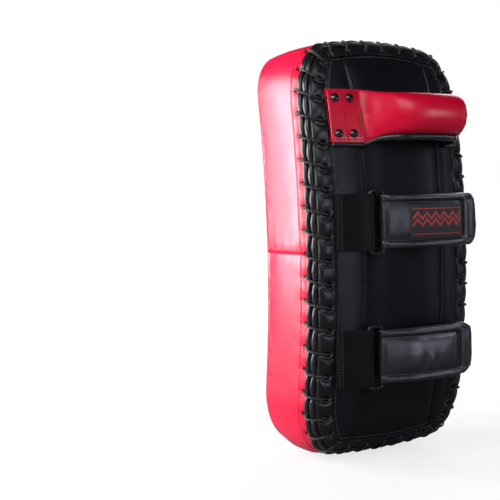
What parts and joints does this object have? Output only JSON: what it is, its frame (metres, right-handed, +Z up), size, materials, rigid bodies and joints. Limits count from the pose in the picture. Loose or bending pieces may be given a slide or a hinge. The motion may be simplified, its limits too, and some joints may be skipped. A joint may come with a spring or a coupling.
{
  "type": "thai pad",
  "caption": "Curved laced kick pad with a riveted forearm handle and two padded hook-and-loop arm straps on its back.",
  "frame": {"origin": "middle of the flat rest face at the pad's lower end", "axes": "+Z up along the pad's length, -Y out of the strike face, +Y out of the strap side, +X to the right seen from the strike side"},
  "size_m": [0.2008, 0.1651, 0.4034],
  "materials": {
    "black_pu": "smooth satin synthetic leather with a fine grain",
    "strap_pu": "glossy padded synthetic leather",
    "edge_roll": "rolled synthetic leather binding",
    "red_pu": "smooth satin bright red synthetic leather",
    "handle_red_pu": "glossy deep red synthetic leather",
    "lace_cord": "round black synthetic leather lace",
    "elastic_web": "ribbed black elastic webbing",
    "webbing": "plain black webbing",
    "hook_loop": "hook and loop tape",
    "woven_label": "woven red and black pattern, no lettering",
    "ring_plastic": "smooth black",
    "rivet_black": "glossy black domed cap",
    "washer_steel": "plain",
    "impact_foam": "closed-cell foam",
    "soft_foam": "open-cell foam",
    "board": "fibre board"
  },
  "bodies": {
    "pad": {"back_border": "black_pu", "back_center_panel": "black_pu", "back_edge_roll": "edge_roll", "back_flank_left": "black_pu", "back_flank_right": "black_pu", "backing_board": "board", "core_foam": "soft_foam", "gusset_edge_roll": "edge_roll", "gusset_lower": "red_pu", "gusset_upper": "red_pu", "handle_cover": "handle_red_pu", "handle_foam": "soft_foam", "handle_piping": "edge_roll", "handle_tab_core_left": "webbing", "handle_tab_core_right": "webbing", "impact_foam": "impact_foam", "lace": "lace_cord", "lower_elastic_web": "elastic_web", "rivet_left_1": "rivet_black", "rivet_left_2": "rivet_black", "rivet_left_3": "rivet_black", "rivet_left_4": "rivet_black", "rivet_right_1": "rivet_black", "rivet_right_2": "rivet_black", "rivet_right_3": "rivet_black", "rivet_right_4": "rivet_black", "rivet_washer_left_1": "washer_steel", "rivet_washer_left_2": "washer_steel", "rivet_washer_left_3": "washer_steel", "rivet_washer_left_4": "washer_steel", "rivet_washer_right_1": "washer_steel", "rivet_washer_right_2": "washer_steel", "rivet_washer_right_3": "washer_steel", "rivet_washer_right_4": "washer_steel", "strike_face": "black_pu", "upper_elastic_web": "elastic_web"},
    "upper_strap": {"upper_strap_band": "strap_pu", "upper_strap_foam": "soft_foam", "upper_loop_patch": "hook_loop", "upper_loop_ring": "ring_plastic"},
    "upper_flap": {"upper_flap": "strap_pu", "upper_hook_patch": "hook_loop", "upper_label": "woven_label"},
    "lower_strap": {"lower_strap_band": "strap_pu", "lower_strap_foam": "soft_foam", "lower_loop_patch": "hook_loop", "lower_loop_ring": "ring_plastic"},
    "lower_flap": {"lower_flap": "strap_pu", "lower_hook_patch": "hook_loop"}
  },
  "joints": [
    {"name": "upper_strap_lift", "type": "hinge", "parent": "pad", "child": "upper_strap", "pos_m": [-0.077, 0.07455, 0.228], "axis": [0, 0, 1], "range_deg": [0, 8], "deforming": ["upper_elastic_web"]},
    {"name": "upper_flap_peel", "type": "hinge", "parent": "upper_strap", "child": "upper_flap", "pos_m": [0.0305, 0.08555, 0.228], "axis": [0, 0, -1], "range_deg": [0, 120]},
    {"name": "lower_strap_lift", "type": "hinge", "parent": "pad", "child": "lower_strap", "pos_m": [-0.077, 0.06942, 0.1015], "axis": [0, 0, 1], "range_deg": [0, 8], "deforming": ["lower_elastic_web"]},
    {"name": "lower_flap_peel", "type": "hinge", "parent": "lower_strap", "child": "lower_flap", "pos_m": [0.0305, 0.08042, 0.1015], "axis": [0, 0, -1], "range_deg": [0, 120]}
  ]
}
